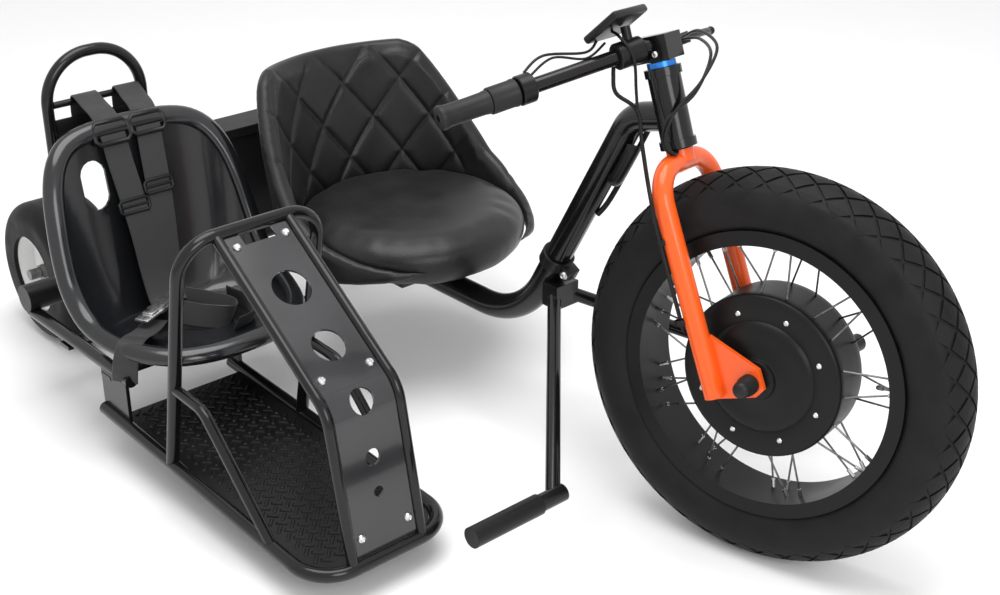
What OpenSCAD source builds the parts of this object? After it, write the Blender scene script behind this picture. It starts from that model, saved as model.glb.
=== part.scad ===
// Electric drift trike with a side passenger seat.
// Front hub motor wheel, low single-tube frame, stool-like rider seat, two small slick rear wheels
// and a tubular passenger nose with a footwell on the right. Sizes in millimetres, +X forward, +Z up.

/* [Placing] */
// distance from the front axle back to the middle of the vehicle's length
mid_x = 594.7; // [400:1:800]
// distance from the frame's centre plane to the middle of the vehicle's width
mid_y = 54; // [0:1:200]

/* [Front wheel] */
// outer diameter of the front tyre
tyre_d = 590; // [500:1:680]
// section width of the front tyre
tyre_w = 100; // [70:1:130]
// inside diameter of the front rim
rim_in_d = 385; // [340:1:420]
// thickness of the front rim's ring
rim_wall = 12.5; // [6:0.5:20]
// height of the rim's lips over the tyre's seat
rim_lip_h = 9; // [5:0.5:15]
// width of the front rim between its lips
rim_w = 80; // [50:1:100]
// diameter of the hub motor shell
motor_d = 244; // [180:1:280]
// width of the hub motor shell
motor_w = 76; // [50:1:100]
// number of spokes on each side
spokes_per_side = 18; // [12:2:24]
// spoke diameter
spoke_d = 3; // [2:0.5:5]
// front axle diameter
axle_d = 14; // [10:1:20]

/* [Steering] */
// rake of the steering axis from the vertical
rake = 20; // [10:0.5:30]
// turn of the steering to the left in the resting pose
steer_rest = 14; // [0:0.5:25]
// foot of the head tube, behind the front axle
head_x = -182; // [-260:1:-120]
// height of the head tube's foot
head_z = 585; // [500:1:680]
// length of the head tube
head_len = 116; // [90:1:150]
// outer diameter of the head tube
head_d = 48; // [40:1:60]
// forward offset of the wheel from the steering axis
fork_offset = 74; // [30:1:110]
// fork leg diameter
fork_leg_d = 30; // [22:1:40]
// half spacing of the fork legs
fork_half = 76; // [66:1:95]
// handlebar tube diameter
bar_d = 22; // [20:0.5:28]
// half width of the handlebar
bar_half = 300; // [220:1:400]
// backward sweep of the handlebar's ends
bar_sweep = 167; // [0:1:220]
// downward tilt of the handlebar's ends
bar_tilt = 8.5; // [0:0.5:25]
// height of the handlebar clamp above the head tube's foot
bar_rise = 150; // [130:1:200]

/* [Main frame] */
// main tube diameter
main_d = 44; // [36:1:54]
// height of the low run of the main tube
low_z = 190; // [140:1:220]
// bend radius of the main tube
main_bend = 170; // [90:5:220]
// rear cross tube behind the front axle
cross_x = -1140; // [-1200:1:-1120]
// right end of the rear cross tube
cross_right = -592; // [-640:1:-560]
// left end of the rear cross tube
cross_left = 320; // [280:1:380]
// half spacing of the plates that carry the rear axle
plate_half = 235; // [180:1:260]
// foot peg arm diameter
peg_arm_d = 22; // [18:1:28]
// foot peg bar diameter
peg_d = 26; // [22:1:34]
// foot peg sleeve diameter
sleeve_d = 31; // [26:1:38]
// place of the foot pegs along the vehicle
peg_x = -135; // [-240:1:-60]
// height of the foot pegs
peg_z = 140; // [100:1:200]

/* [Rear axle] */
// rear axle behind the front axle
rear_x = -1344; // [-1500:1:-1200]
// rear tyre diameter
rear_d = 268; // [240:1:300]
// rear tyre width
rear_w = 132; // [100:1:190]
// outer faces of the rear wheels from the centre plane
rear_out = 486; // [420:1:560]
// rear rim diameter
rear_rim_d = 148; // [120:1:170]
// rear axle diameter
rear_axle_d = 30; // [20:1:40]
// rear spindle diameter
spindle_d = 20; // [15:1:25]

/* [Rider seat] */
// middle of the rider's cushion
seat_x = -805; // [-900:1:-700]
// cushion diameter
seat_d = 404; // [340:1:460]
// underside of the cushion
seat_z = 224; // [200:1:280]
// cushion thickness
seat_t = 92; // [60:1:130]
// height of the seat back's top edge
back_top = 548; // [450:1:640]

/* [Battery box] */
// front face of the battery box
box_x = -1104; // [-1150:1:-1080]
// depth of the battery box
box_l = 64; // [60:1:160]
// half width of the battery box
box_half = 245; // [180:5:280]
// floor of the battery box
box_z = 214; // [190:1:240]
// top of the battery box lid
box_top = 412; // [360:1:460]
// lid height
lid_h = 16; // [8:1:40]

/* [Passenger nose] */
// front tube of the passenger nose
nose_x = -284; // [-400:1:-200]
// middle of the passenger nose
nose_y = -467; // [-560:1:-400]
// height of the nose's base tubes at the front
nose_z = 52; // [30:1:90]
// rise of the base towards the rear
nose_pitch = 3; // [0:0.5:6]
// half width of the base between tube centres
nose_half = 122; // [100:1:180]
// length of the base
nose_len = 600; // [450:5:800]
// base and hoop tube diameter
nose_d = 22; // [16:1:28]
// panel side tube diameter
rail_d = 17; // [12:1:22]
// footrest hoop behind the front tube
hoop_x = -388; // [-460:1:-300]
// forward lean of the hoop
hoop_lean = 9; // [0:0.5:18]
// hoop height along its legs
hoop_h = 405; // [300:1:480]
// half width of the nose panel
panel_half = 53; // [40:1:70]
// panel thickness
panel_t = 4; // [2:0.5:8]

/* [Bucket seat] */
// front lip of the bucket
bucket_x = -735; // [-820:1:-700]
// middle of the bucket
bucket_y = -392; // [-480:1:-330]
// half width of the bucket
bucket_half = 162; // [140:1:200]
// right rail under the bucket
rail_right = -578; // [-620:1:-550]
// left rail under the bucket
rail_left = -206; // [-230:1:-170]
// radius of the rails under the bucket
seat_rail_r = 11; // [8:0.5:14]
// underside of the bucket
bucket_z = 151; // [140:1:170]
// wall thickness of the bucket
bucket_t = 8; // [4:0.5:15]
// middle of the headrest hoop
rest_y = -415; // [-480:1:-340]
// headrest hoop half width
rest_half = 88; // [70:1:140]
// radius of the headrest hoop's tube
rest_r = 10; // [8:0.5:14]
// headrest hoop top
rest_top = 600; // [540:1:680]

/* [Hidden] */
$fn = 96;
rest_x = cross_x;
s = sin(rake);
c = cos(rake);
tyre_r = tyre_d/2;
rim_seat_d = rim_in_d+2*rim_wall;
tyre_mid = tyre_r-tyre_w/2;
// lean of the wheel's axle when the steering is turned
axle_nz = -sin(steer_rest)*s;
wheel_z = tyre_mid*sqrt(1-axle_nz*axle_nz)+tyre_w/2;
wheel_drop = (head_z+fork_offset*s*cos(steer_rest)-wheel_z)/c;
leg_r = fork_leg_d/2;
leg_len = wheel_drop-4;
main_r = main_d/2;
nose_r = nose_d/2;
rail_r = rail_d/2;
hoop_r = nose_r-0.5;
cross_r = 24;
rail_y = panel_half+rail_r+0.3;
seat_rail_z = bucket_z-0.5+seat_rail_r;
flat_bar_z = seat_rail_z-seat_rail_r-6;
bar_places = [bucket_x-133, bucket_x-275];
seat_r = seat_d/2;
rear_in = rear_out-rear_w;
black = [0.05, 0.05, 0.05];
dark = [0.10, 0.10, 0.11];
orange = [0.95, 0.36, 0.08];
silver = [0.75, 0.75, 0.77];
white = [0.92, 0.92, 0.92];

function unit(v) = v/norm(v);
function azim(v) = atan2(v[1], v[0]);
function polar(v) = acos(v[2]/norm(v));
// radius to use at an inner point of a path: one value for all, or one each
function bend_at(bend, i) = is_list(bend) ? bend[i] : bend;
function turn(p, i) = acos(unit(p[i]-p[i-1])*unit(p[i+1]-p[i]));
function setback(p, bend, i) =
  (i == 0 || i == len(p)-1) ? 0 : bend_at(bend, i)*tan(turn(p, i)/2);

// places a shape's z axis along v
module along(v) {
  rotate([0, polar(v), azim(v)]) children();
}

module rod(p, q, r) {
  translate(p) along(q-p) cylinder(h = norm(q-p), r = r);
}

// straight run to point i of a path, the bend there and all that follows; side is the local x axis
module tube_run(p, r, bend, i, side) {
  d1 = unit(p[i]-p[i-1]);
  run = norm(p[i]-p[i-1])-setback(p, bend, i-1)-setback(p, bend, i);
  cylinder(h = run, r = r);
  if (i < len(p)-1) {
    d2 = unit(p[i+1]-p[i]);
    a = turn(p, i);
    radius = bend_at(bend, i);
    inward = unit(d2-(d2*d1)*d1);
    roll = atan2(cross(side, inward)*d1, side*inward);
    translate([0, 0, run]) rotate([0, 0, roll]) {
      translate([radius, 0, 0]) rotate([90, 0, 0]) rotate([0, 0, 180-a])
        rotate_extrude(angle = a) translate([radius, 0]) circle(r = r);
      translate([radius, 0, 0]) rotate([0, a, 0]) translate([-radius, 0, 0])
        tube_run(p, r, bend, i+1, inward*cos(a)-d1*sin(a));
    }
  }
}

// round tube along a path with rounded bends
module bent(p, r, bend) {
  d = unit(p[1]-p[0]);
  side = [cos(polar(d))*cos(azim(d)), cos(polar(d))*sin(azim(d)), -sin(polar(d))];
  translate(p[0]) along(d) tube_run(p, r, bend, 1, side);
}

// round tube along a path of x and z points, at one place across the vehicle
module side_bent(p, y, r, bend) {
  translate([0, y, 0]) rotate([90, 0, 0]) bent([for (q = p) [q[0], q[1], 0]], r, bend);
}

// whole vehicle, front axle frame to middle frame
module placed() {
  translate([mid_x, mid_y, 0]) children();
}

// frame of the steering: origin at the head tube's foot, z up the steering axis, x forward
module on_axis() {
  placed() translate([head_x, 0, head_z]) rotate([0, -rake, 0]) children();
}

module steered() {
  on_axis() rotate([0, 0, steer_rest]) children();
}

// frame of the front wheel: origin at its middle, z along the axle to the left
module at_wheel() {
  steered() translate([fork_offset, 0, -wheel_drop]) rotate([-90, 0, 0]) children();
}

module both_sides() {
  children();
  mirror([0, 1, 0]) children();
}

// frame of the passenger nose: origin at the middle of its front tube
module at_nose() {
  placed() translate([nose_x, nose_y, nose_z]) rotate([0, nose_pitch, 0]) children();
}

// side profile in x and z, extruded across by a half width about the middle
module across(half) {
  rotate([90, 0, 0]) linear_extrude(height = 2*half, center = true) children();
}

// front profile in y and z, extruded along x
module lengthwise(from, to) {
  translate([from, 0, 0]) rotate([90, 0, 90]) linear_extrude(height = to-from) children();
}

module rim_section() {
  lip = 4;
  translate([rim_in_d/2, -rim_w/2]) square([rim_wall, rim_w]);
  for (side = [-1, 1])
    translate([rim_in_d/2, side*(rim_w/2+lip/2)-lip/2]) square([rim_wall+rim_lip_h, lip]);
}

module front_tyre() {
  color(dark) at_wheel() rotate_extrude() difference() {
    translate([tyre_mid, 0]) circle(d = tyre_w);
    translate([0, -tyre_w]) square([rim_seat_d/2, 2*tyre_w]);
    rim_section();
  }
}

module front_rim() {
  color(black) at_wheel() rotate_extrude() rim_section();
}

module front_spokes() {
  flange = 28;
  seat = 12;
  hub_r = motor_d/2-6;
  out_r = rim_in_d/2+4;
  pair = 7;
  color(silver) at_wheel() intersection() {
    for (side = [-1, 1])
      for (i = [0:spokes_per_side-1]) {
        a = (i+(side > 0 ? 0.5 : 0))*360/spokes_per_side;
        lean = (i%2 == 0) ? pair : -pair;
        rod([hub_r*cos(a), hub_r*sin(a), side*flange],
            [out_r*cos(a+lean), out_r*sin(a+lean), side*seat], spoke_d/2, $fn = 12);
      }
    difference() {
      cylinder(h = 2*motor_w, d = rim_in_d-0.2, center = true);
      cylinder(h = 3*motor_w, d = motor_d+0.2, center = true);
    }
  }
}

module hub_motor() {
  cover_d = 222;
  cover_w = 90;
  boss_d = 60;
  boss_w = 116;
  bolt_r = 96;
  color(black) at_wheel() difference() {
    union() {
      cylinder(h = motor_w, d = motor_d, center = true);
      cylinder(h = cover_w, d = cover_d, center = true);
      cylinder(h = boss_w, d = boss_d, center = true);
      for (a = [0:45:315])
        rotate([0, 0, a+20]) translate([bolt_r, 0, 0]) cylinder(h = cover_w+6, d = 9, center = true, $fn = 24);
    }
    cylinder(h = 2*boss_w, d = axle_d+0.6, center = true);
  }
}

function fork_path() = [[0, -fork_half, -leg_len], [0, -fork_half, 0], [0, fork_half, 0], [0, fork_half, -leg_len]];

module dropout(side) {
  plate = 8;
  translate([0, side*(fork_half-8), 0]) rotate([90, 0, 0])
    linear_extrude(height = plate, center = true)
      polygon([[0, -258], [26, -262], [92, -316], [94, -346], [80, -wheel_drop-20], [6, -wheel_drop-20]]);
}

// one bent tube over the wheel, with a crown race above and dropout plates at its feet
module fork() {
  leg_lean = 3;
  color(orange) steered() difference() {
    union() {
      translate([0, 0, -20]) rotate([0, -leg_lean, 0]) bent(fork_path(), leg_r, 50);
      translate([0, 0, -21]) cylinder(h = 19, d = 40);
      dropout(-1);
      dropout(1);
    }
    translate([fork_offset, 0, -wheel_drop]) rotate([90, 0, 0])
      cylinder(h = 300, d = axle_d, center = true);
  }
}

module front_axle() {
  nut_w = 12;
  color(silver) at_wheel() {
    cylinder(h = 200, d = axle_d, center = true);
    for (side = [-1, 1])
      translate([0, 0, side*(fork_half-4+nut_w/2)]) cylinder(h = nut_w, d = 24, center = true, $fn = 6);
  }
}

module steerer() {
  shaft_d = 28.6;
  color(dark) steered() {
    translate([0, 0, -2]) cylinder(h = bar_rise-16, d = shaft_d);
    clamp_block();
  }
}

module spacer_ring() {
  color([0.10, 0.35, 0.85]) steered() translate([0, 0, head_len+0.4]) difference() {
    cylinder(h = 8, d = 42);
    translate([0, 0, -1]) cylinder(h = 12, d = 28.6);
  }
}

function bar_end(side) = [-bar_sweep, side*bar_half, 0];
function bar_root(side) = [0, side*8, 0];

// plane of the swept handlebar: origin at the clamp
module on_bar_plane() {
  translate([0, 0, bar_rise]) rotate([0, -bar_tilt, 0]) children();
}

module clamp_block() {
  translate([-4, 0, bar_rise-6]) cube([62, 44, 36], center = true);
}

// two swept halves held in the stem's clamp
module handlebar() {
  color(black) steered() difference() {
    on_bar_plane() for (side = [-1, 1]) rod(bar_root(side), bar_end(side), bar_d/2);
    clamp_block();
  }
}

module on_bar(side, from, to, r) {
  a = bar_root(side);
  b = bar_end(side);
  d = unit(b-a);
  on_bar_plane() difference() {
    rod(b-d*from, b-d*to, r);
    rod(a, b, bar_d/2);
  }
}

module grips() {
  color(dark) steered() {
    on_bar(-1, -8, 118, 16);
    on_bar(1, -8, 118, 16);
  }
}

module throttle() {
  color(black) steered() on_bar(-1, 119, 146, 19);
}

function main_path() = [[head_x-18, head_z+42], [head_x-92, head_z+22], [-506, low_z], [cross_x, low_z]];

module main_solid() {
  placed() side_bent(main_path(), 0, main_r, [0, 60, main_bend, 0]);
}

module head_solid() {
  cylinder(h = head_len, d = head_d);
  for (z = [0, head_len-12]) translate([0, 0, z]) cylinder(h = 12, d = head_d+6);
}

module head_tube() {
  color(black) on_axis() difference() {
    head_solid();
    translate([0, 0, -5]) cylinder(h = head_len+10, d = 30);
  }
}

module main_tube() {
  color(black) difference() {
    main_solid();
    on_axis() head_solid();
    rear_cross_solid();
  }
}

module rear_cross_solid() {
  placed() rod([cross_x, cross_right, low_z], [cross_x, cross_left, low_z], cross_r);
}

module rear_cross() {
  color(black) rear_cross_solid();
}

// plates that carry the rear axle and the battery box
module axle_plates() {
  plate = 10;
  color(black) difference() {
    placed() for (y = [-plate_half, plate_half])
      translate([0, y, 0]) across(plate/2)
        polygon([[cross_x, low_z-20], [cross_x, box_z], [cross_x-60, box_z], [rear_x-56, rear_d/2+42],
                 [rear_x-56, rear_d/2+16], [rear_x-36, rear_d/2-26], [rear_x+36, rear_d/2-26],
                 [cross_x-100, low_z-20]]);
    rear_cross_solid();
    placed() rod([rear_x, -plate_half-60, rear_d/2], [rear_x, plate_half+60, rear_d/2], rear_axle_d/2);
  }
}

module rear_axle() {
  z = rear_d/2;
  color(silver) placed() {
    rod([rear_x, -rear_in+14, z], [rear_x, rear_in-14, z], rear_axle_d/2);
    rod([rear_x, -rear_out-6, z], [rear_x, rear_out+6, z], spindle_d/2);
    for (side = [-1, 1])
      rod([rear_x, side*(rear_out-28), z], [rear_x, side*(rear_out-16), z], 15, $fn = 6);
  }
}

module seat_post() {
  color(black) difference() {
    placed() {
      translate([seat_x-60, -30, low_z]) cube([120, 60, 30]);
      translate([seat_x-110, -110, seat_z-8.3]) cube([220, 220, 8]);
    }
    placed() rod([seat_x+200, 0, low_z], [cross_x, 0, low_z], main_r);
  }
}

module seat_cushion() {
  edge = 44;
  color(dark) placed() translate([seat_x, 0, seat_z]) rotate_extrude() {
    square([seat_r-edge, seat_t]);
    translate([0, edge]) square([seat_r, seat_t-2*edge]);
    translate([seat_r-edge, edge]) circle(r = edge);
    translate([seat_r-edge, seat_t-edge]) circle(r = edge);
  }
}

// wrap-round back, cut lower towards the front of its wings
module seat_back() {
  span = 172;
  thick = 27;
  low = seat_z+30;
  inner = seat_r+0.3;
  color(dark) placed() intersection() {
    translate([seat_x, 0, low]) rotate([0, 0, 180-span/2]) rotate_extrude(angle = span)
      polygon([[inner, 0], [inner+thick, 0], [inner+thick+26, back_top-low], [inner+30, back_top-low],
               [inner, 24]]);
    across(320) polygon([[-1100, seat_z], [-1100, back_top+5], [-985, back_top+5], [-925, 450],
                         [-830, 345], [-830, seat_z]]);
    lengthwise(-1150, -700) polygon([[-190, seat_z], [-204, 330], [-192, 470], [-168, back_top], [168, back_top],
                                     [192, 470], [204, 330], [190, seat_z]]);
  }
}

module battery_box() {
  color(black) placed() translate([box_x-box_l, -box_half, box_z])
    cube([box_l, 2*box_half, box_top-lid_h-box_z]);
}

module battery_lid() {
  lip = 4;
  color(dark) placed() translate([box_x-box_l-lip, -box_half-lip, box_top-lid_h])
    cube([box_l+2*lip, 2*(box_half+lip), lid_h]);
}

function arm_path(side) = [[-416, side*16, 268], [peg_x, side*284, peg_z]];

module peg_arms() {
  color(black) difference() {
    placed() {
      for (side = [-1, 1]) rod(arm_path(side)[0], arm_path(side)[1], peg_arm_d/2);
      translate([-436, -24, 252]) cube([34, 48, 40]);
    }
    main_solid();
    peg_bar_solids();
  }
}

module peg_bar_solids() {
  placed() for (side = [-1, 1]) rod([peg_x, side*264, peg_z], [peg_x, side*432, peg_z], peg_d/2);
}

module peg_bars() {
  color(black) peg_bar_solids();
}

module peg_sleeves() {
  color(dark) placed() for (side = [-1, 1]) difference() {
    rod([peg_x, side*312, peg_z], [peg_x, side*436, peg_z], sleeve_d/2);
    rod([peg_x, side*260, peg_z], [peg_x, side*432, peg_z], peg_d/2);
  }
}

module rear_wheel_at(side) {
  placed() translate([rear_x, side*(rear_out-rear_w/2), rear_d/2]) rotate([-90*side, 0, 0]) children();
}

module rear_tyre(side) {
  edge = 30;
  color(dark) rear_wheel_at(side) rotate_extrude() difference() {
    union() {
      translate([0, -rear_w/2+edge]) square([rear_d/2, rear_w-2*edge]);
      translate([0, -rear_w/2]) square([rear_d/2-edge, rear_w]);
      for (k = [-1, 1]) translate([rear_d/2-edge, k*(rear_w/2-edge)]) circle(r = edge);
    }
    translate([-1, -rear_w]) square([rear_rim_d/2+1, 2*rear_w]);
  }
}

module rear_rim(side) {
  wall = 5;
  disc = 8;
  hub_d = 56;
  color(white) rear_wheel_at(side) difference() {
    union() {
      difference() {
        cylinder(h = rear_w-16, d = rear_rim_d, center = true);
        cylinder(h = rear_w, d = rear_rim_d-2*wall, center = true);
      }
      translate([0, 0, rear_w/2-46]) cylinder(h = disc, d = rear_rim_d-wall);
      translate([0, 0, -rear_w/2+16]) cylinder(h = rear_w-46, d = hub_d);
    }
    cylinder(h = 2*rear_w, d = spindle_d+0.6, center = true);
  }
}

module right_tyre() { rear_tyre(-1); }
module right_rim() { rear_rim(-1); }
module left_tyre() { rear_tyre(1); }
module left_rim() { rear_rim(1); }

function base_path() = [[-nose_len, nose_half, 0], [0, nose_half, 0], [0, -nose_half, 0],
                        [-nose_len, -nose_half, 0]];
function hoop_path() = [[0, -nose_half, 0], [0, -nose_half, hoop_h], [0, nose_half, hoop_h], [0, nose_half, 0]];
function hoop_at(h) = hoop_x+h*sin(hoop_lean);
function panel_path() = [[hoop_at(hoop_h), hoop_h*cos(hoop_lean)], [-58, 232], [0, 0]];

module base_solid() {
  bent(base_path(), nose_r, 62);
}

module hoop_solid() {
  translate([hoop_x, 0, 0]) rotate([0, hoop_lean, 0]) bent(hoop_path(), hoop_r, 58);
}

module nose_base() {
  color(black) at_nose() base_solid();
}

module nose_hoop() {
  color(black) at_nose() difference() {
    hoop_solid();
    base_solid();
  }
}

module panel_rails() {
  color(black) at_nose() difference() {
    for (side = [-1, 1]) side_bent(panel_path(), side*rail_y, rail_r, 60);
    base_solid();
    hoop_solid();
  }
}

function brace_path() = [[hoop_at(150), 148], [hoop_at(150)+80, 148], [-112, 0]];

module side_braces() {
  color(black) at_nose() difference() {
    for (side = [-1, 1]) side_bent(brace_path(), side*nose_half, rail_r, 40);
    base_solid();
    hoop_solid();
  }
}

module nose_floor() {
  corner = 62;
  half = nose_half-nose_r-0.2;
  color(black) at_nose() translate([0, 0, -2]) linear_extrude(height = 3) {
    translate([-nose_len+40, -half]) square([nose_len-40-corner, 2*half]);
    translate([-corner-1, corner-nose_half]) square([corner-nose_r+0.8, 2*(nose_half-corner)]);
    for (side = [-1, 1]) translate([-corner, side*(nose_half-corner)]) circle(r = corner-nose_r-0.2);
  }
}

module bucket_outer() {
  h = bucket_half;
  intersection() {
    across(h+5) polygon([[bucket_x, 222], [bucket_x-4, 186], [bucket_x-48, bucket_z], [-985, bucket_z], [-1030, 172],
      [-1092, 456], [-1082, 480], [-1052, 480], [-1016, 396], [-935, 322], [-840, 266]]);
    lengthwise(-1200, -700) polygon([[34-h, bucket_z], [h-34, bucket_z], [h-10, 180], [h, 240], [h, 340], [h-6, 430],
      [h-40, 482], [40-h, 482], [6-h, 430], [-h, 340], [-h, 240], [10-h, 180]]);
  }
}

module bucket_inner() {
  t = bucket_t;
  w = bucket_half-t;
  z = bucket_z+t;
  intersection() {
    across(bucket_half) polygon([[bucket_x-8, 230], [bucket_x-12, 192], [bucket_x-52, z], [-981, z], [-1022, 178],
      [-1086, 470], [-1086, 700], [-600, 700], [-600, 230]]);
    lengthwise(-1200, -500) polygon([[32-w, z], [w-32, z], [w-8, 184], [w, 242], [w, 340], [w-6, 430], [w-36, 476],
      [w-36, 720], [36-w, 720], [36-w, 476], [6-w, 430], [-w, 340], [-w, 242], [8-w, 184]]);
  }
}

module bucket_seat() {
  color(black) placed() translate([0, bucket_y, 0]) difference() {
    bucket_outer();
    bucket_inner();
  }
}

// flat bar that joins the two rails under the bucket
module flat_bar() {
  translate([0, rail_right-seat_rail_r, flat_bar_z]) cube([30, rail_left-rail_right+2*seat_rail_r, 6.2]);
}

module seat_rails() {
  color(black) difference() {
    placed() {
      for (y = [rail_right, rail_left])
        rod([cross_x, y, seat_rail_z], [bucket_x-65, y, seat_rail_z], seat_rail_r);
      for (x = bar_places) translate([x-15, 0, 0]) flat_bar();
    }
    rear_cross_solid();
  }
}

module rest_hoop() {
  color(black) difference() {
    placed() translate([rest_x, rest_y, 0]) bent([[0, -rest_half, low_z], [0, -rest_half, rest_top],
      [0, rest_half, rest_top], [0, rest_half, low_z]], rest_r, 82);
    rear_cross_solid();
  }
}

// bent flat strip along a path in the x and z plane
module strip(p, w, t, bend) {
  for (i = [0:len(p)-2]) {
    d = unit(p[i+1]-p[i]);
    a = p[i]+d*setback(p, bend, i);
    b = p[i+1]-d*setback(p, bend, i+1);
    translate(a) along(b-a) translate([-t/2, -w/2, 0]) cube([t, w, norm(b-a)]);
  }
  for (i = [1:1:len(p)-2]) {
    d1 = unit(p[i]-p[i-1]);
    d2 = unit(p[i+1]-p[i]);
    a = turn(p, i);
    middle = p[i]+unit(d2-d1)*bend/cos(a/2);
    e1 = unit(p[i]-d1*bend*tan(a/2)-middle);
    flip = cross(e1, d1)[1] > 0 ? 1 : -1;
    translate(middle) rotate([0, -atan2(e1[2], e1[0]), 0]) rotate([-90*flip, 0, 0])
      rotate_extrude(angle = a) translate([bend-t/2, -w/2]) square([t, w]);
  }
}

// perforated panel that bends down to the nose's front tube
module nose_panel() {
  holes = [[118, 60], [222, 52]];
  top = [panel_path()[0][0], 0, panel_path()[0][1]];
  low = [panel_path()[1][0], 0, panel_path()[1][1]];
  d = unit(low-top);
  color(black) at_nose() difference() {
    strip([top+d*12, low, [-4, 0, 16]], 2*panel_half, panel_t, 60);
    for (h = holes) translate(top+d*h[0]) along([-d[2], 0, d[0]]) cylinder(h = 60, d = h[1], center = true);
    translate([-62, 0, 226]) along([1, 0, 1]) cylinder(h = 90, d = 39, center = true);
    for (h = [[150, 25], [95, 16]])
      translate([-24, 0, h[0]]) along([1, 0, 0.25]) cylinder(h = 90, d = h[1], center = true);
  }
}

module bracket_plates() {
  plate = 6;
  foot = 78;
  x = bar_places[0]-15;
  color(black) difference() {
    placed() {
      translate([x-1, rail_right-10, foot]) cube([80, plate, seat_rail_z-foot]);
      translate([x, nose_y+nose_half-plate/2, foot]) cube([30, plate, flat_bar_z-foot]);
    }
    at_nose() base_solid();
    placed() rod([cross_x, rail_right, seat_rail_z], [bucket_x-55, rail_right, seat_rail_z], seat_rail_r);
    placed() translate([x, 0, 0]) flat_bar();
  }
}

// plate between the headrest legs that carries the harness
module rest_plate() {
  color(black) placed() translate([rest_x-2, rest_y-rest_half+rest_r+0.6, rest_top-160])
    cube([4, 2*(rest_half-rest_r-0.6), 90]);
}

module display() {
  color(dark) steered() {
    translate([-30, -48, bar_rise+40]) rotate([0, -25, 0]) cube([64, 84, 14], center = true);
    translate([-20, -42, bar_rise+9]) cylinder(h = 26, d = 14);
  }
}

module brake_levers() {
  color(black) steered() {
    on_bar(-1, 148, 172, 17);
    on_bar(1, 148, 172, 17);
  }
}

front_tyre();
front_rim();
front_spokes();
hub_motor();
fork();
front_axle();
steerer();
spacer_ring();
handlebar();
grips();
throttle();
head_tube();
main_tube();
rear_cross();
axle_plates();
rear_axle();
seat_post();
seat_cushion();
seat_back();
battery_box();
battery_lid();
peg_arms();
peg_bars();
peg_sleeves();
right_tyre();
right_rim();
left_tyre();
left_rim();
nose_base();
nose_hoop();
panel_rails();
side_braces();
nose_floor();
bucket_seat();
seat_rails();
rest_hoop();
nose_panel();
bracket_plates();
rest_plate();
display();
brake_levers();
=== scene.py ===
# %% [markdown]
# # Electric drift trike with a passenger seat
# The frame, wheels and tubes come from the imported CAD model. This lesson dresses them: rubber, paint,
# vinyl, webbing and small fittings are made here with bmesh operators and node materials.
# Every piece is written in millimetres measured from the foot of the front axle and the trike's own
# centre plane, because that is how a maker would measure it, and then moved into the shared frame.

# %% load the frame
import math
import bmesh
import bpy
from mathutils import Matrix, Vector


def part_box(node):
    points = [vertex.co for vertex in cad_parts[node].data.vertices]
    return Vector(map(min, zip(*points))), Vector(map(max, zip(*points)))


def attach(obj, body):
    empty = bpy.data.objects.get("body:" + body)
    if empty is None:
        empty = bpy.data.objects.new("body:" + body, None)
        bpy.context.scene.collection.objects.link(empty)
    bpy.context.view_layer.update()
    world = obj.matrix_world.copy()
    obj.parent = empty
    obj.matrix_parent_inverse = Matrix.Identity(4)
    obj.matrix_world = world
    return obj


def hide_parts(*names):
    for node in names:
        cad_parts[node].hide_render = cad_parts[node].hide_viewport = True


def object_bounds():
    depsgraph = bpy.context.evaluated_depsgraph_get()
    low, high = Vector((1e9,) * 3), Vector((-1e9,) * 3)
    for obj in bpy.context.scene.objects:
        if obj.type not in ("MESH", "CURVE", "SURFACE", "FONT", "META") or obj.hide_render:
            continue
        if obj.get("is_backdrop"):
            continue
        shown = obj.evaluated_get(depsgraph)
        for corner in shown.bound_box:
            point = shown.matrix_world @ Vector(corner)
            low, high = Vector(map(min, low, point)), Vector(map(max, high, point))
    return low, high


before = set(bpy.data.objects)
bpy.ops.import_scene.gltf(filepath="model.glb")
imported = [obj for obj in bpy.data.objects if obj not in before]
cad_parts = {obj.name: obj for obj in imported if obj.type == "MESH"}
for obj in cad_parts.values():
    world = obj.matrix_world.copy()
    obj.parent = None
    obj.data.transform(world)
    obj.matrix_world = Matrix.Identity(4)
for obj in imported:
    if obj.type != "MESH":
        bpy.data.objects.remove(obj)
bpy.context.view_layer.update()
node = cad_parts

# %% millimetres on the trike to metres in the frame
foot_x, foot_y = 594.7, 54.0


def at(x, y, z):
    """A point measured from the front axle's foot (x), the centre plane (y) and the ground (z)."""
    return Vector(((x + foot_x) / 1000, (y + foot_y) / 1000, z / 1000))


print("foot of the front axle in the frame:", at(0, 0, 0))

# %% [markdown]
# ## Camera
# The camera stands high in front of the trike's right side. Its place, heading and lens were worked out
# from the wheels' outlines, so that the wheels show as the same ellipses as in the photograph.


# %% camera
def show(thing):
    """Link a new object into the scene."""
    bpy.context.scene.collection.objects.link(thing)
    return thing


camera = show(bpy.data.objects.new("camera", bpy.data.cameras.new("camera")))
heading, dip = math.radians(138.266), math.radians(25.646)
looks = Vector((math.cos(heading) * math.cos(dip), math.sin(heading) * math.cos(dip), -math.sin(dip)))
camera.location = (1.7530, -1.4840, 1.3186)
camera.rotation_euler = looks.to_track_quat("-Z", "Y").to_euler()
camera.data.lens = 54.05
camera.data.sensor_width = 36
bpy.context.scene.camera = camera
print("camera looks along", looks)

# %% [markdown]
# ## Floor and light
# A studio sweep is pale and even, and its light is soft and comes from all round. The floor is a big
# pale disc that still takes the shadow. The world is white to the eye and in reflections, and gives a
# gentler fill to the surfaces, so that colours come out about as written.

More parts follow.
